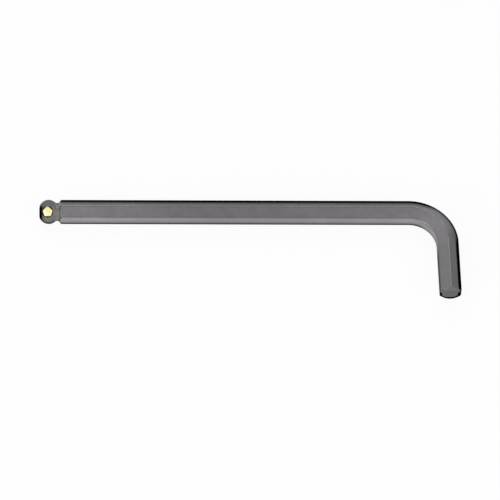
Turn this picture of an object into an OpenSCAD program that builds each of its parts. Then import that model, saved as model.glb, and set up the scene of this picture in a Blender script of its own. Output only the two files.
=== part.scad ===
// L-shaped hex key with a ball end and a small retaining insert, lying flat.
// X runs along the long arm, from the ball's tip to the bend. Z is up.
// The short arm points towards -Y. The key rests on its lower corner edges.
// The origin is under the middle of the key, on the surface that it lies on.

/* [Key] */
// Width across the flats of the drive
across_flats = 10; // [8:0.5:14]
// Radius of the rounded corner edges
corner_round = 0.4; // [0.2:0.1:0.8]
// Overall length of the long arm, from the ball's tip to the outer flat
long_arm = 198; // [120:1:260]
// Overall length of the short arm, from its end face to the outer flat
short_arm = 50; // [40:1:80]
// Radius of the inner flat in the bend
bend_inner_r = 12.9; // [8:0.1:20]

/* [Short end] */
// Depth below the flats at which the end face starts
end_inset = 1.1; // [0.3:0.1:1.5]
// Angle of the end's bevel to the arm
end_bevel_angle = 60; // [30:1:70]

/* [Ball end] */
// Radius of the arc that each facet of the ball follows along the key
ball_arc_r = 5; // [4:0.1:6]
// Depth below the flats at which the flat tip starts
tip_inset = 2.5; // [1:0.1:3]
// Depth of the turned neck below the flats
neck_inset = 0.75; // [0.4:0.05:1.2]
// Length of the neck between the ball and the shoulder
neck_length = 1.25; // [0.5:0.05:4]
// Angle of the shoulder behind the neck to the key
shoulder_angle = 50; // [30:1:60]

/* [Retaining insert] */
// Diameter of the round hole that the insert sits in
insert_hole_d = 5.6; // [4:0.1:6]
// Depth of that hole below the flats
insert_hole_depth = 2.6; // [2:0.1:3.5]
// Thickness of the lip between the hole and the flat tip
insert_lip = 0.7; // [0.2:0.1:1]
// Width of the five-sided insert along the key
insert_w = 4.5; // [3:0.1:5.2]
// Height of the five-sided insert across the facet
insert_h = 5.1; // [3:0.1:5.2]
// How far the insert's domed head stands proud of the ball
insert_proud = 0.1; // [0:0.05:0.3]

/* [Hidden] */
$fn = 96;
sides = 6;
// Steps of each rounded corner edge
corner_steps = 4;
// Room that a cutting shape has beyond the metal
spare = 5;
flat_r = across_flats / 2;
corner_r = flat_r / cos(30);
bend_r = bend_inner_r + flat_r;
neck_r = flat_r - neck_inset;
// At this depth the corners of the ball have sunk into the neck
ball_sink = flat_r - neck_r * cos(30);
ball_front = arc_reach(ball_arc_r, tip_inset);
ball_back = arc_reach(ball_arc_r, ball_sink);
neck_end = ball_front + ball_back + neck_length;
long_straight = long_arm - flat_r - bend_r;
short_straight = short_arm - flat_r - bend_r;
insert_x = insert_lip + insert_hole_d / 2;
insert_floor = flat_r - insert_hole_depth;
// Turn about the key's axis of the facet that holds the insert
insert_turn = 30;

// Distance along an arc's chord from its top to where it has dropped by depth
function arc_reach(r, depth) = sqrt(r * r - pow(r - depth, 2));

// Outline of a hexagon with rounded corners and a corner straight up
function hex_outline() = [
    for (side = [0:sides - 1], step = [0:corner_steps])
        let (corner = 90 + side * 360 / sides)
        let (turn = corner + (step / corner_steps - 0.5) * 360 / sides)
        let (centre_r = corner_r - corner_round / cos(30))
        [
            centre_r * cos(corner) + corner_round * cos(turn),
            centre_r * sin(corner) + corner_round * sin(turn)
        ]
];

// Outline of a five-sided plate of width w and height h with its point up
function five_sided_outline(w, h) = [
    for (i = [0:4])
        [w / 2 * sin(72 * i) / sin(72), h * cos(72 * i) / (1 + cos(36))]
];

// Lays what is drawn along +Z along the long arm instead
module along_long_arm() {
    rotate([90, 0, 90]) children();
}

// Hexagonal bar along +Z whose start is bevelled down to the radius lead_r
module bevelled_bar(length, lead_r, angle) {
    outer_r = corner_r + spare;
    bevel = (outer_r - lead_r) / tan(angle);
    intersection() {
        linear_extrude(length) polygon(hex_outline());
        rotate_extrude()
            polygon([
                [0, 0],
                [lead_r, 0],
                [outer_r, bevel],
                [outer_r, length + bevel],
                [0, length + bevel]
            ]);
    }
}

// Long arm from the end of the neck to the bend
module long_bar() {
    translate([neck_end, 0, 0])
        along_long_arm()
            bevelled_bar(long_straight - neck_end, neck_r, shoulder_angle);
}

// Quarter turn from the long arm to the short arm
module bend() {
    translate([long_straight, -bend_r, 0])
        rotate_extrude(angle = 90)
            translate([bend_r, 0])
                polygon(hex_outline());
}

// Short arm from its end face to the bend
module short_bar() {
    translate([long_arm - flat_r, flat_r - short_arm, 0])
        rotate([90, 0, 180])
            bevelled_bar(short_straight, flat_r - end_inset, end_bevel_angle);
}

// All that lies under one arched facet of the ball, with the facet facing up
module under_facet() {
    arc_centre = flat_r - ball_arc_r;
    rotate([90, 0, 0])
        linear_extrude(4 * corner_r, center = true)
            intersection() {
                translate([-ball_front, -2 * corner_r])
                    square([ball_front + ball_back, 4 * corner_r]);
                union() {
                    translate([0, arc_centre]) circle(ball_arc_r);
                    translate([-ball_arc_r, -3 * corner_r])
                        square([2 * ball_arc_r, 3 * corner_r + arc_centre]);
                }
            }
}

// Ball with six arched facets, cut off flat at the tip
module ball() {
    translate([ball_front, 0, 0])
        intersection_for (side = [0:sides - 1])
            rotate([insert_turn + side * 360 / sides, 0, 0])
                under_facet();
}

// Turned neck from the middle of the ball to the shoulder
module neck() {
    translate([ball_front, 0, 0])
        along_long_arm()
            cylinder(h = neck_end - ball_front, r = neck_r);
}

// Moves to the insert's hole, with Z straight out of its facet and Y across it
module at_insert() {
    translate([insert_x, 0, 0])
        rotate([insert_turn, 0, 0])
            children();
}

// Round hole up from its floor, long enough to leave the ball
module insert_hole() {
    translate([0, 0, insert_floor])
        cylinder(h = insert_hole_depth + spare, d = insert_hole_d);
}

// Stands the key, drawn from its tip, on the surface under its middle
module lay_flat() {
    translate([-long_arm / 2, short_arm / 2 - flat_r, corner_r])
        children();
}

module key_body() {
    color("dimgray")
        lay_flat()
            difference() {
                union() {
                    ball();
                    neck();
                    long_bar();
                    bend();
                    short_bar();
                }
                at_insert() insert_hole();
            }
}

// Five-sided insert on the floor of its hole, with its head domed like the ball
module retaining_insert() {
    color("khaki")
        lay_flat()
            at_insert()
                intersection() {
                    insert_hole();
                    translate([0, 0, insert_floor])
                        linear_extrude(insert_hole_depth + spare)
                            polygon(five_sided_outline(insert_w, insert_h));
                    translate([ball_front - insert_x, 0, 0])
                        sphere(flat_r + insert_proud);
                }
}

key_body();
retaining_insert();
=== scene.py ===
"""Looks of a hex key with a ball end, lying flat on a white studio floor.

The key is swept along its centreline as one skin of rings. A ring's place is given by s, the way
along the centreline from the tip, and a point on a ring by its turn from straight up towards the
outside of the bend. All lengths are in metres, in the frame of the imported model.
"""
import math

import bmesh
import bpy
from mathutils import Matrix, Vector


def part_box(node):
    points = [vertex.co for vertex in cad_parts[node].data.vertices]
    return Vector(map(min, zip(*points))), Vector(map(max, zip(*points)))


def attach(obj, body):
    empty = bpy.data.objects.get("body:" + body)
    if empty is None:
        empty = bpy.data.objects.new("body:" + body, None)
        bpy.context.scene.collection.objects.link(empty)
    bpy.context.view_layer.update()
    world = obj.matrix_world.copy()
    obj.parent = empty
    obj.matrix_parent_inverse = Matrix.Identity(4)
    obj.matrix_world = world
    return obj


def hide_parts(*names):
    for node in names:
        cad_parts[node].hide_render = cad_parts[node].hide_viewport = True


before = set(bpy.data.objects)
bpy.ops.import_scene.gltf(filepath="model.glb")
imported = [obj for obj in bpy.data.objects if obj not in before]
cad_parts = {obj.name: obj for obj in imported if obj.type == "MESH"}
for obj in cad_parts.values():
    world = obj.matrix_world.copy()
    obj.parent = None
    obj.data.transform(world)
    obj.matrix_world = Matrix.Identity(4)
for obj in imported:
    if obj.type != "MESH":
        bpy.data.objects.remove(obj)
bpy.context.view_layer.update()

MM = 0.001
SIDES = 6
HALF_FACET = math.pi / SIDES

# The key's overall sizes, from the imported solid
KEY_LOW, KEY_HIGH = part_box("key_body")
LONG_ARM = KEY_HIGH.x - KEY_LOW.x
SHORT_ARM = KEY_HIGH.y - KEY_LOW.y
CORNER_R = (KEY_HIGH.z - KEY_LOW.z) / 2
FLAT_R = CORNER_R * math.cos(HALF_FACET)
AXIS_Y = KEY_HIGH.y - FLAT_R
AXIS_Z = KEY_LOW.z + CORNER_R

# The rest of the construction, as in the part's source
CORNER_ROUND = 0.4 * MM
BEND_R = 12.9 * MM + FLAT_R
END_INSET = 1.1 * MM
END_BEVEL_ANGLE = math.radians(60)
BALL_ARC_R = 5 * MM
TIP_INSET = 2.5 * MM
NECK_R = FLAT_R - 0.75 * MM
NECK_LENGTH = 1.25 * MM
SHOULDER_ANGLE = math.radians(50)
HOLE_R = 2.8 * MM
HOLE_DEPTH = 2.6 * MM
HOLE_LIP = 0.7 * MM
INSERT_PROUD = 0.1 * MM
INSERT_TURN = math.radians(30)

# Outline of the insert: its point, its widest place and its foot, with the last two a little to one side
INSERT_POINT = 2.9 * MM
INSERT_W = 4.6 * MM
INSERT_WIDEST = 0.5 * MM
INSERT_FOOT_W = 3.0 * MM
INSERT_FOOT = 2.1 * MM
INSERT_SKEW = 0.13 * MM

# Softening of the edges that grinding and coating leave
EDGE_SOFT = 0.15 * MM
NECK_SOFT = 0.35 * MM
BALL_ROUND = 0.25 * MM

# The insert's own softening, the dish in its head and the height of its straight wall
INSERT_ROUND = 0.6 * MM
INSERT_POINT_ROUND = 0.25 * MM
INSERT_SOFT = 0.18 * MM
INSERT_DISH = 0.12 * MM
INSERT_DISH_R = 2.0 * MM
INSERT_WALL = 1.9 * MM

# Colours of the coating, of cut metal and of the brass, with the brass's painted highlight at its rim and
# painted shade at its point, in linear light
COATING = (0.357, 0.344, 0.364)
CUT_METAL = (0.358, 0.35, 0.338)
BRASS_MIDDLE = (0.99, 0.85, 0.37)
BRASS_RIM_HIGHLIGHT = (1.0, 0.97, 0.53)
BRASS_POINT_SHADE = (0.83, 0.65, 0.27)

# Where the brass turns to its painted highlight, from the middle, and to its painted shade, towards the
# point
BRASS_RIM_HIGHLIGHT_SPAN = (0.6 * MM, 1.9 * MM)
BRASS_POINT_SHADE_SPAN = (1.9 * MM, 2.8 * MM)

# Painted light and shade across a facet, by its share from a corner edge, on the long arm, the bend and
# the short arm: painted shade in dark bands along the corner edges, and an inner flat painted lighter on
# the long arm and in the bend and darker on the short arm. The stops of a curve lie between 0 and 1, so a
# gain follows where more is needed.
EDGE_FADES = (
    (
        (0, 0), (0.15, 0.01), (0.28, 0.08), (0.38, 0.25), (0.48, 0.46),
        (0.6, 0.65), (0.76, 0.8), (0.94, 0.91), (1, 0.8),
    ),
    ((0, 0), (0.1, 0.04), (0.2, 0.4), (0.3, 0.65), (0.5, 0.84), (0.65, 0.92), (0.8, 0.97), (1, 0.95)),
    ((0, 0), (0.12, 0), (0.22, 0.03), (0.29, 0.3), (0.35, 0.88), (0.42, 1), (0.8, 1), (1, 0.95)),
)
INNER_FADES = (
    ((0, 0.03), (0.08, 0.1), (0.22, 0.42), (0.38, 0.66), (0.6, 0.79), (0.85, 0.81), (1, 0.77)),
    ((0, 0.3), (0.12, 0.58), (0.25, 0.78), (0.4, 0.95), (0.6, 0.97), (0.8, 0.82), (1, 0.72)),
    ((0, 0), (0.25, 0.03), (0.5, 0.09), (0.75, 0.13), (1, 0.14)),
)
INNER_GAIN = 1.4
UPPER_INNER_FADE = ((0, 0.86), (0.12, 0.95), (0.25, 1), (0.8, 1), (0.93, 0.97), (1, 0.8))
OUTER_FLAT_FADE = ((0, 1), (0.6, 1), (0.78, 0.8), (0.9, 0.3), (1, 0.1))

# Where these fades change over into the bend and out of it, as shares of the bend
INTO_BEND = (0.22, 0.47)
OUT_OF_BEND = (0.88, 1.08)
INNER_OUT_OF_BEND = (0.93, 1.3)

# Painted shade that dulls the top ridge in the bend, over this share of a facet
RIDGE_SHARE = 0.1
RIDGE_TONE = 0.8

# Painted light and shade along the key, by the share of its length
PAINTED_LIGHT_ALONG = (
    (0, 0.9), (0.053, 0.905), (0.165, 0.845), (0.29, 0.75), (0.43, 0.725), (0.53, 0.765), (0.6, 0.785),
    (0.7, 0.8), (0.76, 0.855), (0.775, 0.84), (0.79, 0.775), (0.805, 0.727), (0.82, 0.735),
    (0.835, 0.83), (0.85, 0.9), (0.87, 0.885), (0.885, 0.82), (0.91, 0.77), (0.95, 0.765), (1, 0.79),
)
# Painted light on the upper outer facet, strongest in the bend
OUTER_FACET_PAINTED_LIGHT = (
    (0, 0.667), (0.76, 0.667), (0.79, 0.84), (0.81, 1), (0.83, 0.93), (0.86, 0.79), (0.875, 0.667),
    (1, 0.667),
)
OUTER_FACET_GAIN = 1.5

# Painted shade on the ball's tip: lightness from the tip on, which starts further out behind the key
TIP_REACH = 3.2 * MM
TIP_FADE = (
    (0, 0), (0.16, 0.01), (0.25, 0.1), (0.35, 0.38), (0.45, 0.62), (0.6, 0.8), (0.8, 0.93), (1, 1),
)
TIP_SLANT_SPAN = (0.3 * MM, 2.2 * MM)
TIP_SLANT = 1.2 * MM

# Heights over which painted shade darkens the ball's cut metal low down and the whole underside
BALL_SHADE_SPAN = (-2.6 * MM, 0.6 * MM)
BALL_SHADE = 0.25
UNDERSIDE_SPAN = (-3.2 * MM, -2.7 * MM)
UNDERSIDE_SHADE = 0.1

# Depth of a cut at which its look sets in, and the painted shade of a dark line along its border
CUT_SPAN = (-0.13 * MM, 0.03 * MM)
CUT_LINE_DEPTH = 0.08 * MM
CUT_LINE_W = 0.18 * MM
CUT_LINE_SHARE = 0.7

# Share of the coating's lightness that cut metal has, from the tip to past the shoulder, front and back:
# the cut metal is duller, and its changes along the key and between front and back are painted light and
# shade
SHOULDER_REACH = 2 * MM
FRONT_CUT_SHARE = (
    (0, 0.7), (0.4, 0.69), (0.53, 0.62), (0.58, 0.66), (0.67, 0.7), (0.72, 0.8), (0.77, 0.78),
    (0.8, 0.68), (0.84, 0.55), (1, 0.55),
)
BACK_CUT_SHARE = (
    (0, 0.5), (0.4, 0.49), (0.5, 0.46), (0.57, 0.51), (0.61, 0.59), (0.68, 0.58), (0.73, 0.45),
    (0.78, 0.4), (0.81, 0.6), (0.84, 0.95), (1, 1),
)
BACK_CUT_GAIN = 1.3
BACK_CUT_SPAN = (-0.5 * MM, 1.5 * MM)

# The same share on the short end, up to the height where its bevel starts, lighter on the bevel than on
# the face, and the painted shade of its dark lower rim and outer side
END_FACE_SHARE = 0.58
END_BEVEL_SHARE = 0.73
END_BEVEL_SPAN = (3.1 * MM, 3.9 * MM)
END_RIM_SPAN = (3.4 * MM, 4.0 * MM)
END_RIM_SHIFT = 0.4 * MM
END_RIM_SQUASH = 1.5
END_RIM_TOP_SPAN = (1.0 * MM, 1.8 * MM)
END_RIM_SLOPE = -0.1
END_SIDE_SPAN = (3.4 * MM, 4.9 * MM)
END_SIDE_SHADE = 0.9

# Points around each ring of the key, at each corner edge and across each flat
CORNER_POINTS = 9
CORNER_REACH = math.radians(4.5)
FLAT_POINTS = 9

# Steps round the hole, round a corner and along a side of the insert, up its wall and over its edge
HOLE_STEPS = 96
INSERT_CORNER_STEPS = 6
INSERT_SIDE_STEPS = 5
INSERT_WALL_STEPS = 4
INSERT_EDGE_STEPS = 6

# Sizes of the rings that fill the key's flat ends and the insert's head, down to the middle
TIP_SCALES = (0.97, 0.8, 0.6, 0.4, 0.2)
HEAD_SCALES = (1, 0.96, 0.9, 0.82, 0.72, 0.6, 0.48, 0.36, 0.24, 0.12)

# Finish of the steel and the brass: where painted shade makes the steel dark, it is all metal, so that no
# white sheen lies on it
METAL_SPAN = (0.1, 0.6)
METAL_SHARE = 0.74
SHEEN_TINT = (0.3, 0.3, 0.3, 1)
CUT_ROUGHNESS = 0.5
BRASS_METAL_SHARE = 0.05

# Surfaces that turn by more than this have a sharp edge between them
KEY_SHARP_ANGLE = math.radians(25)
INSERT_SHARP_ANGLE = math.radians(40)

# Lamps: name, azimuth and elevation in degrees, and power
SOFTBOXES = (
    ("left_front_softbox", -50, 30, 8.4),
    ("right_front_softbox", 50, 30, 4.2),
    ("far_left_softbox", -127, 30, 0.55),
    ("back_softbox", 180, 45, 4.5),
)
SOFTBOX_DISTANCE = 1.2
SOFTBOX_SIZE = 0.8
WORLD_LIGHT = 0.305

# The floor's size each way, its colour, and the share of its own light and shadow that shows
FLOOR_REACH = 3
FLOOR_COLOUR = (0.95, 0.95, 0.95, 1)
FLOOR_SHADE = 0.07

# Width of the picture in pixels, and the name of the skin's UV map
PIXEL_WIDTH = 500
SKIN_MAP = "along_and_around"


def arc_reach(radius, depth):
    """Distance along an arc's chord from its top to where it has dropped by depth."""
    return math.sqrt(radius ** 2 - (radius - depth) ** 2)


BALL_FRONT = arc_reach(BALL_ARC_R, TIP_INSET)
BALL_BACK = arc_reach(BALL_ARC_R, FLAT_R - NECK_R * math.cos(HALF_FACET))
BALL_END = BALL_FRONT + BALL_BACK
NECK_END = BALL_END + NECK_LENGTH
LONG_STRAIGHT = LONG_ARM - FLAT_R - BEND_R
SHORT_STRAIGHT = SHORT_ARM - FLAT_R - BEND_R
BEND_LENGTH = BEND_R * math.pi / 2
BEND_END = LONG_STRAIGHT + BEND_LENGTH
PATH_LENGTH = BEND_END + SHORT_STRAIGHT


def soft_min(a, b, soft):
    """The smaller of a and b, with the corner between them rounded over."""
    h = max(soft - abs(a - b), 0) / soft
    return min(a, b) - h * h * soft / 4


def soft_max(a, b, soft):
    """The larger of a and b, with the corner between them filled."""
    return -soft_min(-a, -b, soft)


def hexagon_radius(turn, flat_r, rounding):
    """Distance from the middle to a rounded hexagon's outline, with turn counted from a corner."""
    from_corner = abs((turn + HALF_FACET) % (2 * HALF_FACET) - HALF_FACET)
    centre_r = (flat_r - rounding) / math.cos(HALF_FACET)
    tangent = math.atan2(rounding * math.sin(HALF_FACET), centre_r + rounding * math.cos(HALF_FACET))
    if from_corner < tangent:
        across = centre_r * math.sin(from_corner)
        return centre_r * math.cos(from_corner) + math.sqrt(rounding ** 2 - across ** 2)
    return flat_r / math.cos(HALF_FACET - from_corner)


def ball_flat_r(s):
    """Distance from the axis to the middle of the ball's facets at s."""
    from_centre = min(abs(s - BALL_FRONT), BALL_ARC_R)
    return FLAT_R - BALL_ARC_R + math.sqrt(BALL_ARC_R ** 2 - from_centre ** 2)


def skin_radius(s, turn):
    """Distance from the centreline to the key's skin."""
    if s < BALL_FRONT:
        return hexagon_radius(turn, ball_flat_r(s), BALL_ROUND)
    shoulder = NECK_R + (s - NECK_END) * math.tan(SHOULDER_ANGLE)
    turned = soft_max(NECK_R, shoulder, NECK_SOFT)
    end = FLAT_R - END_INSET + (PATH_LENGTH - s) * math.tan(END_BEVEL_ANGLE)
    bar = hexagon_radius(turn, FLAT_R, CORNER_ROUND)
    bar = soft_min(soft_min(bar, turned, EDGE_SOFT), end, EDGE_SOFT)
    if s < BALL_FRONT + BALL_ARC_R:
        return soft_max(hexagon_radius(turn, ball_flat_r(s), BALL_ROUND), bar, NECK_SOFT)
    return bar


def path_frame(s):
    """The centreline's point at s, and the direction out of the bend there."""
    start = Vector((KEY_LOW.x, AXIS_Y, AXIS_Z))
    if s <= LONG_STRAIGHT:
        return start + Vector((s, 0, 0)), Vector((0, 1, 0))
    angle = min((s - LONG_STRAIGHT) / BEND_R, math.pi / 2)
    outward = Vector((math.sin(angle), math.cos(angle), 0))
    centre = start + Vector((LONG_STRAIGHT, -BEND_R, 0))
    past_bend = max(s - BEND_END, 0)
    return centre + outward * BEND_R + Vector((0, -past_bend, 0)), outward


def spread(start, end, steps):
    """Even steps from start up to, and without, end."""
    return [start + (end - start) * i / steps for i in range(steps)]


def mesh_of(bm, name):
    """A mesh of what bm holds, with its faces turned outwards."""
    bmesh.ops.recalc_face_normals(bm, faces=bm.faces)
    mesh = bpy.data.meshes.new(name)
    bm.to_mesh(mesh)
    bm.free()
    return mesh


def add_object(name, data):
    """A new object in the scene."""
    added = bpy.data.objects.new(name, data)
    bpy.context.scene.collection.objects.link(added)
    return added


def ring_turns():
    """The turns of a ring's points: fine at the corner edges, even across the flats."""
    turns = []
    for side in range(SIDES):
        corner = side * 2 * HALF_FACET
        flat_end = corner + 2 * HALF_FACET - CORNER_REACH
        turns += spread(corner - CORNER_REACH, corner + CORNER_REACH, CORNER_POINTS - 1)
        turns += spread(corner + CORNER_REACH, flat_end, FLAT_POINTS)
    return turns


def ring_places():
    """The places of the rings along the key: fine where the shape changes quickly."""
    bevel = END_INSET + CORNER_R - FLAT_R + EDGE_SOFT
    bevel_start = PATH_LENGTH - bevel / math.tan(END_BEVEL_ANGLE)
    shoulder_end = NECK_END + (CORNER_R - NECK_R + EDGE_SOFT) / math.tan(SHOULDER_ANGLE)

    # Where each stretch of the key ends, and its number of rings
    stretches = (
        (BALL_END, 48),
        (shoulder_end, 40),
        (LONG_STRAIGHT, 12),
        (BEND_END, 48),
        (bevel_start, 4),
        (PATH_LENGTH, 24),
    )
    places = []
    start = 0
    for end, rings in stretches:
        places += spread(start, end, rings)
        start = end
    return places + [PATH_LENGTH]


def skin_mesh(name):
    """The key's closed skin. Its UV map holds s in metres and the share of a full turn."""
    bm = bmesh.new()
    uv = bm.loops.layers.uv.new(SKIN_MAP)
    turns = ring_turns()
    count = len(turns)

    def add_ring(s, scale):
        point, outward = path_frame(s)
        ring = []
        for turn in turns:
            way = Vector((0, 0, 1)) * math.cos(turn) + outward * math.sin(turn)
            ring.append(bm.verts.new(point + way * skin_radius(s, turn) * scale))
        return ring

    def join(first, second, s_first, s_second):
        for i in range(count):
            j = (i + 1) % count
            face = bm.faces.new((first[i], first[j], second[j], second[i]))
            ends = (turns[i], turns[i + 1] if j else turns[0] + 2 * math.pi)
            corners = ((s_first, 0), (s_first, 1), (s_second, 1), (s_second, 0))
            for loop, (s, end) in zip(face.loops, corners):
                loop[uv].uv = (s, ends[end] / (2 * math.pi))

    def close(ring, s, turned_over):
        """A flat face in rings of its own, down to one point in the middle."""
        for scale in TIP_SCALES:
            inner = add_ring(s, scale)
            pair = (ring, inner) if turned_over else (inner, ring)
            join(*pair, s, s)
            ring = inner
        middle = bm.verts.new(path_frame(s)[0])
        for i in range(count):
            j = (i + 1) % count
            order = (ring[i], ring[j], middle) if turned_over else (ring[j], ring[i], middle)
            face = bm.faces.new(order)
            for loop in face.loops:
                loop[uv].uv = (s, turns[i] / (2 * math.pi))

    places = ring_places()
    rings = [add_ring(s, 1) for s in places]
    for i in range(len(places) - 1):
        join(rings[i], rings[i + 1], places[i], places[i + 1])
    close(rings[0], places[0], False)
    close(rings[-1], places[-1], True)
    return mesh_of(bm, name)


def insert_frame():
    """Turns places on the insert's facet into the model's frame. Z is straight out of the facet."""
    place = Matrix.Translation((KEY_LOW.x + HOLE_LIP + HOLE_R, AXIS_Y, AXIS_Z))
    return place @ Matrix.Rotation(INSERT_TURN, 4, "X")


def hole_cutter():
    """A cylinder that cuts the insert's blind hole."""
    bm = bmesh.new()
    height = HOLE_DEPTH + CORNER_R
    lift = Matrix.Translation((0, 0, FLAT_R - HOLE_DEPTH + height / 2))
    bmesh.ops.create_cone(
        bm,
        cap_ends=True,
        segments=HOLE_STEPS,
        radius1=HOLE_R,
        radius2=HOLE_R,
        depth=height,
        matrix=insert_frame() @ lift,
    )
    return add_object("hole_cutter", mesh_of(bm, "hole_cutter"))


def new_piece(name, mesh, material, node):
    """Puts a piece in place of its CAD node."""
    piece = add_object(name, mesh)
    mesh.materials.append(material)
    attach(piece, "root")
    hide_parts(node)
    return piece


def smooth_by_angle(mesh, angle):
    """Smooth shading with sharp edges only where the surface turns by more than angle."""
    mesh.shade_smooth()
    mesh.set_sharp_from_angle(angle=angle)


def build_key(material):
    """The whole steel key, with the insert's hole cut into its ball."""
    body = new_piece("steel_key", skin_mesh("steel_key"), material, "key_body")
    cutter = hole_cutter()
    cut = body.modifiers.new("insert_hole", "BOOLEAN")
    cut.operation = "DIFFERENCE"
    cut.solver = "EXACT"
    cut.object = cutter
    graph = bpy.context.evaluated_depsgraph_get()
    cut_mesh = bpy.data.meshes.new_from_object(body.evaluated_get(graph))
    body.modifiers.clear()
    body.data = cut_mesh
    bpy.data.objects.remove(cutter)
    smooth_by_angle(cut_mesh, KEY_SHARP_ANGLE)


def rounded_outline(rounded_corners):
    """A closed outline of (point, outward normal) from pairs of a corner and its rounding."""
    corners = [corner for corner, rounding in rounded_corners]
    count = len(corners)
    sides = [(corners[(i + 1) % count] - corners[i]).normalized() for i in range(count)]
    arcs = []
    for i in range(count):
        before, after = sides[i - 1], sides[i]
        rounding = rounded_corners[i][1]
        half_turn = before.angle(after) / 2
        centre = corners[i] + (after - before).normalized() * rounding / math.cos(half_turn)
        start, end = Vector((-before.y, before.x)), Vector((-after.y, after.x))
        normals = [start.slerp(end, share) for share in spread(0, 1, INSERT_CORNER_STEPS) + [1]]
        arcs.append([(centre + normal * rounding, normal) for normal in normals])
    outline = []
    for i, arc in enumerate(arcs):
        last, normal = arc[-1]
        following = arcs[(i + 1) % count][0][0]
        between = spread(0, 1, INSERT_SIDE_STEPS)[1:]
        outline += arc
        outline += [(last.lerp(following, share), normal) for share in between]
    return outline


def insert_mesh(name):
    """The insert: a five-sided plug with soft edges and a shallow dish in its domed head."""
    corners = [
        (Vector((0, INSERT_POINT)), INSERT_POINT_ROUND),
        (Vector((INSERT_SKEW + INSERT_W / 2, INSERT_WIDEST)), INSERT_ROUND),
        (Vector((INSERT_SKEW + INSERT_FOOT_W / 2, -INSERT_FOOT)), INSERT_ROUND),
        (Vector((INSERT_SKEW - INSERT_FOOT_W / 2, -INSERT_FOOT)), INSERT_ROUND),
        (Vector((INSERT_SKEW - INSERT_W / 2, INSERT_WIDEST)), INSERT_ROUND),
    ]
    outline = rounded_outline(corners)
    place = insert_frame()
    dome_centre = BALL_FRONT - HOLE_LIP - HOLE_R
    bm = bmesh.new()

    def head_height(point):
        across = (point - Vector((dome_centre, 0))).length
        dome = math.sqrt((FLAT_R + INSERT_PROUD) ** 2 - across ** 2)
        dish = INSERT_DISH * max(0, 1 - (point.length / INSERT_DISH_R) ** 2) ** 2
        return dome - dish

    def add_ring(inset, height_of, scale=1.0):
        ring = []
        for point, normal in outline:
            moved = (point - normal * inset) * scale
            ring.append(bm.verts.new(place @ Vector((moved.x, moved.y, height_of(moved)))))
        return ring

    floor = FLAT_R - HOLE_DEPTH
    wall = spread(floor, floor + INSERT_WALL, INSERT_WALL_STEPS)
    rings = [add_ring(0, lambda point: height) for height in wall]
    for angle in spread(0, math.pi / 2, INSERT_EDGE_STEPS):
        inset = INSERT_SOFT * (1 - math.cos(angle))
        drop = INSERT_SOFT * (1 - math.sin(angle))
        rings.append(add_ring(inset, lambda point: head_height(point) - drop))
    for scale in HEAD_SCALES:
        rings.append(add_ring(INSERT_SOFT, head_height, scale))
    count = len(outline)
    for low, high in zip(rings, rings[1:]):
        for i in range(count):
            j = (i + 1) % count
            bm.faces.new((low[i], low[j], high[j], high[i]))
    for ring, height in ((rings[0], floor), (rings[-1], head_height(Vector((0, 0))))):
        middle = bm.verts.new(place @ Vector((0, 0, height)))
        for i in range(count):
            bm.faces.new((ring[i], ring[(i + 1) % count], middle))
    return mesh_of(bm, name)


def build_insert(material):
    """The brass insert, standing on the floor of its hole."""
    mesh = insert_mesh("brass_insert")
    new_piece("brass_insert", mesh, material, "retaining_insert")
    smooth_by_angle(mesh, INSERT_SHARP_ANGLE)


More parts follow.
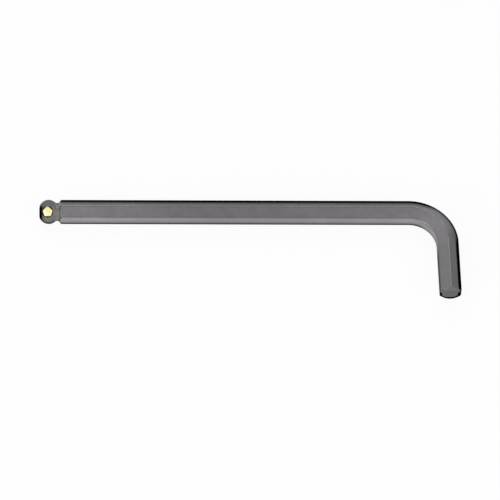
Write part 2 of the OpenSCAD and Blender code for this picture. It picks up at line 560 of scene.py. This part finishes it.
class Nodes:
    """A material's node tree, with short ways to add the nodes that the patterns need."""

    def __init__(self, name):
        self.material = bpy.data.materials.new(name)
        self.material.use_nodes = True
        self.tree = self.material.node_tree
        self.shader = self.tree.nodes["Principled BSDF"]

    def put(self, socket, value):
        """Links a socket into another, or sets it to a plain value."""
        if isinstance(value, bpy.types.NodeSocket):
            self.tree.links.new(value, socket)
        else:
            socket.default_value = value

    def math(self, operation, *values):
        node = self.tree.nodes.new("ShaderNodeMath")
        node.operation = operation
        for socket, value in zip(node.inputs, values):
            self.put(socket, value)
        return node.outputs[0]

    def total(self, operation, values):
        """All values taken together by one operation."""
        result = values[0]
        for value in values[1:]:
            result = self.math(operation, result, value)
        return result

    def ease(self, value, start, end, low=0.0, high=1.0):
        """Runs smoothly from low to high as the value goes from start to end."""
        node = self.tree.nodes.new("ShaderNodeMapRange")
        node.interpolation_type = "SMOOTHSTEP"
        self.put(node.inputs["Value"], value)
        node.inputs["From Min"].default_value = start
        node.inputs["From Max"].default_value = end
        node.inputs["To Min"].default_value = low
        node.inputs["To Max"].default_value = high
        return node.outputs["Result"]

    def ramp(self, value, stops):
        """A number that follows stops of (place, value) between 0 and 1."""
        node = self.tree.nodes.new("ShaderNodeFloatCurve")
        node.mapping.extend = "HORIZONTAL"
        curve = node.mapping.curves[0]
        curve.points[0].location = stops[0]
        curve.points[1].location = stops[-1]
        for place in stops[1:-1]:
            curve.points.new(*place)
        for point in curve.points:
            point.handle_type = "AUTO_CLAMPED"
        node.mapping.update()
        self.put(node.inputs["Value"], value)
        return node.outputs["Value"]

    def mix(self, factor, first, second):
        """A number between first and second."""
        node = self.tree.nodes.new("ShaderNodeMix")
        node.data_type = "FLOAT"
        self.put(node.inputs["Factor"], factor)
        self.put(node.inputs["A"], first)
        self.put(node.inputs["B"], second)
        return node.outputs["Result"]

    def mix_colour(self, factor, first, second):
        """A colour between first and second."""
        node = self.tree.nodes.new("ShaderNodeMix")
        node.data_type = "RGBA"
        self.put(node.inputs["Factor"], factor)
        sockets = [socket for socket in node.inputs if socket.type == "RGBA"]
        for socket, colour in zip(sockets, (first, second)):
            self.put(socket, colour if isinstance(colour, bpy.types.NodeSocket) else (*colour, 1))
        return next(socket for socket in node.outputs if socket.type == "RGBA")

    def scaled(self, colour, factor):
        """A colour multiplied by a number."""
        node = self.tree.nodes.new("ShaderNodeVectorMath")
        node.operation = "SCALE"
        self.put(node.inputs[0], colour)
        self.put(node.inputs["Scale"], factor)
        return node.outputs[0]

    def place(self):
        """The place on the piece."""
        return self.tree.nodes.new("ShaderNodeTexCoord").outputs["Object"]

    def vector(self, operation, value, fixed):
        """The node of a vector operation on a value and a fixed vector."""
        node = self.tree.nodes.new("ShaderNodeVectorMath")
        node.operation = operation
        self.put(node.inputs[0], value)
        node.inputs[1].default_value = fixed
        return node

    def noise(self, size, detail=2.0, stretch=(1, 1, 1)):
        """Noise whose features are about size metres across."""
        node = self.tree.nodes.new("ShaderNodeTexNoise")
        self.put(node.inputs["Vector"], self.vector("DIVIDE", self.place(), stretch).outputs[0])
        node.inputs["Scale"].default_value = 1 / size
        node.inputs["Detail"].default_value = detail
        return node.outputs["Fac"]

    def varied(self, size, detail, low, high, contrast=0.2):
        """A number that wanders between low and high, and stays longer at both with a small contrast."""
        return self.ease(self.noise(size, detail), 0.5 - contrast, 0.5 + contrast, low, high)

    def split(self, vector):
        node = self.tree.nodes.new("ShaderNodeSeparateXYZ")
        self.put(node.inputs[0], vector)
        return node.outputs

    def bump(self, height, depth, base=None):
        """A bump whose height of 1 is depth metres."""
        node = self.tree.nodes.new("ShaderNodeBump")
        self.put(node.inputs["Height"], height)
        node.inputs["Distance"].default_value = depth
        if base:
            self.put(node.inputs["Normal"], base)
        return node.outputs["Normal"]


class Skin:
    """Where a place lies on the key's skin, as numbers for the steel's cut metal and its painted light
    and shade.
    """

    def __init__(self, n):
        uv = n.tree.nodes.new("ShaderNodeUVMap")
        uv.uv_map = SKIN_MAP
        self.along, around, _ = n.split(uv.outputs["UV"])
        self.share = n.math("DIVIDE", self.along, PATH_LENGTH)
        self.ball_side = n.math("LESS_THAN", self.along, LONG_STRAIGHT)

        # Facets passed in a turn: upper outer, outer, lower outer, lower inner, inner, upper inner
        self.facets = n.math("MULTIPLY", around, SIDES)
        x, y, z = n.split(n.place())
        self.from_tip = n.math("SUBTRACT", x, KEY_LOW.x)
        self.from_short_axis = n.math("SUBTRACT", x, KEY_HIGH.x - FLAT_R)
        self.behind = n.math("SUBTRACT", y, AXIS_Y)
        self.height = n.math("SUBTRACT", z, AXIS_Z)

        # How far the turned ball end and the ground short end lie below the drawn bar
        within = n.math("SUBTRACT", n.math("FRACT", self.facets), 0.5)
        bar_r = n.math("DIVIDE", FLAT_R, n.math("COSINE", n.math("MULTIPLY", within, 2 * HALF_FACET)))
        past_neck = n.math("SUBTRACT", self.along, NECK_END)
        to_end = n.math("SUBTRACT", PATH_LENGTH, self.along)
        turned_r = n.math("MULTIPLY_ADD", past_neck, math.tan(SHOULDER_ANGLE), NECK_R)
        end_r = n.math("MULTIPLY_ADD", to_end, math.tan(END_BEVEL_ANGLE), FLAT_R - END_INSET)
        self.cut_depth = n.math("SUBTRACT", bar_r, n.math("MINIMUM", turned_r, end_r))
        self.cut = n.ease(self.cut_depth, *CUT_SPAN)


def painted_facet_light(n, skin):
    """Painted light and shade across each facet of the coating, from its corner edges."""
    def along_bend(shares):
        start, end = (LONG_STRAIGHT + share * BEND_LENGTH for share in shares)
        return n.ease(skin.along, start, end)

    into_bend = along_bend(INTO_BEND)
    out_of_bend = along_bend(OUT_OF_BEND)

    def faded(from_edge, fades, past_bend):
        long_arm, bend, short_arm = (n.ramp(from_edge, fade) for fade in fades)
        return n.mix(past_bend, n.mix(into_bend, long_arm, bend), short_arm)

    upper_outer = faded(n.math("SUBTRACT", 1, skin.facets), EDGE_FADES, out_of_bend)
    # Painted light on the upper outer facet along the key
    outer_painted_light = n.ramp(skin.share, OUTER_FACET_PAINTED_LIGHT)
    upper_outer = n.total("MULTIPLY", [upper_outer, outer_painted_light, OUTER_FACET_GAIN])
    from_middle = n.math("ABSOLUTE", n.math("SUBTRACT", skin.facets, 1.5))
    outer = n.ramp(n.math("MULTIPLY", from_middle, 2), OUTER_FLAT_FADE)
    lower_outer = faded(n.math("SUBTRACT", skin.facets, 2), EDGE_FADES, out_of_bend)
    inner = faded(n.math("SUBTRACT", skin.facets, 4), INNER_FADES, along_bend(INNER_OUT_OF_BEND))
    inner = n.math("MULTIPLY", inner, INNER_GAIN)
    upper_inner = n.ramp(n.math("SUBTRACT", skin.facets, 5), UPPER_INNER_FADE)
    tone = upper_outer
    for passed, following in enumerate((outer, lower_outer, 1.0, inner, upper_inner), start=1):
        tone = n.mix(n.math("GREATER_THAN", skin.facets, passed), tone, following)
    # Painted shade on the top ridge in the bend
    from_ridge = n.math("MINIMUM", skin.facets, n.math("SUBTRACT", SIDES, skin.facets))
    ridge = n.ease(from_ridge, 0, RIDGE_SHARE, 1, 0)
    in_bend = n.math("MULTIPLY", into_bend, n.math("SUBTRACT", 1, out_of_bend))
    return n.math("MULTIPLY", tone, n.mix(n.math("MULTIPLY", ridge, in_bend), 1.0, RIDGE_TONE))


def end_painted_shade(n, skin):
    """Painted shade on the short end, towards its lower rim and its outer side."""
    sideways = n.math("ADD", skin.from_short_axis, END_RIM_SHIFT)
    below = n.math("MULTIPLY", n.math("MINIMUM", skin.height, 0), END_RIM_SQUASH)
    squares = [n.math("MULTIPLY", offset, offset) for offset in (sideways, below)]
    rim = n.ease(n.math("SQRT", n.total("ADD", squares)), *END_RIM_SPAN)
    level = n.math("MULTIPLY_ADD", skin.from_short_axis, END_RIM_SLOPE, skin.height)
    low = n.ease(level, *END_RIM_TOP_SPAN, 1, 0)
    side = n.ease(skin.from_short_axis, *END_SIDE_SPAN, 0, END_SIDE_SHADE)
    return n.math("MAXIMUM", n.math("MULTIPLY", rim, low), side)


def cut_light(n, skin):
    """Share of the coating's lightness that is left on cut metal, which is duller and carries painted
    light and shade, and on the line of painted shade round it.
    """
    to_shoulder = n.math("DIVIDE", skin.along, NECK_END + SHOULDER_REACH)
    front = n.ramp(to_shoulder, FRONT_CUT_SHARE)
    back = n.math("MULTIPLY", n.ramp(to_shoulder, BACK_CUT_SHARE), BACK_CUT_GAIN)
    ball = n.mix(n.ease(skin.behind, *BACK_CUT_SPAN), front, back)
    end = n.ease(skin.height, *END_BEVEL_SPAN, END_FACE_SHARE, END_BEVEL_SHARE)
    share = n.mix(skin.cut, 1.0, n.mix(skin.ball_side, end, ball))
    # Painted shade in a line along the border of cut metal
    from_line = n.math("ABSOLUTE", n.math("ADD", skin.cut_depth, CUT_LINE_DEPTH))
    line = n.ease(from_line, 0, CUT_LINE_W, CUT_LINE_SHARE, 1)
    return n.math("MULTIPLY", share, line)


def steel_material():
    """Drawn steel with a dark coating: satin flats and duller cut metal, with painted shade along the
    corner edges, on the underside, at the ball's tip and at the short end, and painted light across some
    facets and along the key.
    """
    n = Nodes("coated_steel")
    skin = Skin(n)
    # Painted shade on the lower part of the ball's cut metal
    ball_shade = n.ease(skin.height, *BALL_SHADE_SPAN, BALL_SHADE, 1)
    tone = n.mix(skin.cut, painted_facet_light(n, skin), n.mix(skin.ball_side, 1.0, ball_shade))
    # Painted shade on the short end's lower rim and outer side
    at_end = n.math("MULTIPLY", skin.cut, n.math("SUBTRACT", 1, skin.ball_side))
    tone = n.mix(n.math("MULTIPLY", at_end, end_painted_shade(n, skin)), tone, 0.0)
    # Painted shade on the whole underside
    underside = n.ease(skin.height, *UNDERSIDE_SPAN, UNDERSIDE_SHADE, 1)
    # Painted shade at the ball's tip
    slant = n.ease(skin.behind, *TIP_SLANT_SPAN, 0, TIP_SLANT)
    tip = n.ramp(n.math("DIVIDE", n.math("ADD", skin.from_tip, slant), TIP_REACH), TIP_FADE)
    tone = n.total("MULTIPLY", [tone, underside, tip])

    # Mottling of the coating and a fine grain
    mottle = n.varied(size=9 * MM, detail=3, low=0.96, high=1.04)
    grain = n.varied(size=0.35 * MM, detail=2, low=0.95, high=1.05, contrast=0.25)
    # Painted light and shade along the key
    painted_light_along = n.ramp(skin.share, PAINTED_LIGHT_ALONG)
    light = n.total("MULTIPLY", [tone, painted_light_along, mottle, grain, cut_light(n, skin)])
    colour = n.mix_colour(skin.cut, COATING, CUT_METAL)
    n.put(n.shader.inputs["Base Color"], n.scaled(colour, light))
    n.put(n.shader.inputs["Metallic"], n.ease(tone, *METAL_SPAN, 1, METAL_SHARE))
    n.shader.inputs["Specular Tint"].default_value = SHEEN_TINT
    rough = n.varied(size=2.5 * MM, detail=3, low=0.33, high=0.4)
    n.put(n.shader.inputs["Roughness"], n.mix(skin.cut, rough, CUT_ROUGHNESS))

    # Streaks from drawing along the long arm, under a fine unevenness
    streaks = n.bump(n.noise(size=0.25 * MM, stretch=(40, 1, 1)), depth=0.002 * MM)
    uneven = n.bump(n.noise(size=0.3 * MM), depth=0.004 * MM, base=streaks)
    n.put(n.shader.inputs["Normal"], uneven)
    return n.material


def brass_material():
    """Bright, lightly polished brass, with a painted highlight towards its rim and painted shade at its
    point.
    """
    n = Nodes("brass")
    centre = insert_frame() @ Vector((0, 0, FLAT_R))
    to_point = insert_frame().to_3x3() @ Vector((0, 1, 0))
    from_centre = n.vector("DISTANCE", n.place(), centre).outputs["Value"]
    towards_point = n.vector("DOT_PRODUCT", n.place(), to_point).outputs["Value"]
    towards_point = n.math("SUBTRACT", towards_point, centre.dot(to_point))
    # Painted highlight towards the rim and painted shade towards the point
    colour = n.mix_colour(n.ease(from_centre, *BRASS_RIM_HIGHLIGHT_SPAN), BRASS_MIDDLE, BRASS_RIM_HIGHLIGHT)
    colour = n.mix_colour(n.ease(towards_point, *BRASS_POINT_SHADE_SPAN), colour, BRASS_POINT_SHADE)
    speckle = n.varied(size=0.3 * MM, detail=3, low=0.96, high=1.02, contrast=0.25)
    n.put(n.shader.inputs["Base Color"], n.scaled(colour, speckle))
    n.shader.inputs["Metallic"].default_value = BRASS_METAL_SHARE
    n.put(n.shader.inputs["Roughness"], n.varied(size=0.8 * MM, detail=2, low=0.28, high=0.4))
    n.put(n.shader.inputs["Normal"], n.bump(n.noise(size=0.2 * MM), depth=0.003 * MM))
    return n.material


def bearing(azimuth, elevation):
    """The way from the key to a camera or lamp. Azimuth 0 is on the short arm's side."""
    a = math.radians(azimuth)
    e = math.radians(elevation)
    return Vector((math.sin(a) * math.cos(e), -math.cos(a) * math.cos(e), math.sin(e)))


def make_camera():
    """A long lens from far away, at the photograph's angle."""
    azimuth = -8.9
    elevation = 58.4
    roll = math.radians(7.75)
    distance = 3.5
    pixels_per_metre = 2117
    aim_up = -0.65 * MM
    back = bearing(azimuth, elevation)
    level = bearing(azimuth + 90, 0)
    upright = back.cross(level)
    right = level * math.cos(roll) + upright * math.sin(roll)
    up = upright * math.cos(roll) - level * math.sin(roll)
    data = bpy.data.cameras.new("camera")
    data.sensor_width = 36
    data.lens = data.sensor_width * distance * pixels_per_metre / PIXEL_WIDTH
    data.clip_end = 100
    camera = add_object("camera", data)
    turn = Matrix((right, up, back)).transposed().to_4x4()
    place = Vector((0, 0, AXIS_Z)) + up * aim_up + back * distance
    camera.matrix_world = Matrix.Translation(place) @ turn
    bpy.context.scene.camera = camera


def floor_material():
    """White to the camera and in reflections, with a share of the floor's own light and shadow."""
    n = Nodes("floor_white")
    nodes = n.tree.nodes
    nodes.remove(n.shader)
    rays = nodes.new("ShaderNodeLightPath").outputs
    seen = n.total("MAXIMUM", [rays["Is Camera Ray"], rays["Is Glossy Ray"], rays["Is Transmission Ray"]])
    diffuse = nodes.new("ShaderNodeBsdfDiffuse")
    diffuse.inputs["Color"].default_value = FLOOR_COLOUR
    white = nodes.new("ShaderNodeEmission")
    mix = nodes.new("ShaderNodeMixShader")
    n.put(mix.inputs["Fac"], n.math("MULTIPLY", seen, 1 - FLOOR_SHADE))
    n.put(mix.inputs[1], diffuse.outputs[0])
    n.put(mix.inputs[2], white.outputs[0])
    n.put(nodes["Material Output"].inputs["Surface"], mix.outputs[0])
    return n.material


def make_floor():
    """A wide white floor that shows white to the camera and keeps a soft shadow."""
    mesh = bpy.data.meshes.new("floor")
    corners = [(x * FLOOR_REACH, y * FLOOR_REACH, 0) for x, y in ((-1, -1), (1, -1), (1, 1), (-1, 1))]
    mesh.from_pydata(corners, [], [(0, 1, 2, 3)])
    mesh.materials.append(floor_material())
    add_object("floor", mesh)


def make_world():
    """A plain white studio all round."""
    world = bpy.data.worlds.new("studio")
    bpy.context.scene.world = world
    world.use_nodes = True
    background = world.node_tree.nodes["Background"]
    background.inputs["Color"].default_value = (1, 1, 1, 1)
    background.inputs["Strength"].default_value = WORLD_LIGHT


def make_softbox(name, azimuth, elevation, power):
    """A square lamp that faces the middle of the key."""
    data = bpy.data.lights.new(name, "AREA")
    data.size = SOFTBOX_SIZE
    data.energy = power
    lamp = add_object(name, data)
    back = bearing(azimuth, elevation)
    lamp.location = back * SOFTBOX_DISTANCE
    lamp.rotation_mode = "QUATERNION"
    lamp.rotation_quaternion = back.to_track_quat("Z", "Y")


bpy.context.scene.view_settings.view_transform = "Standard"
make_camera()
make_floor()
make_world()
for softbox in SOFTBOXES:
    make_softbox(*softbox)
build_key(steel_material())
build_insert(brass_material())
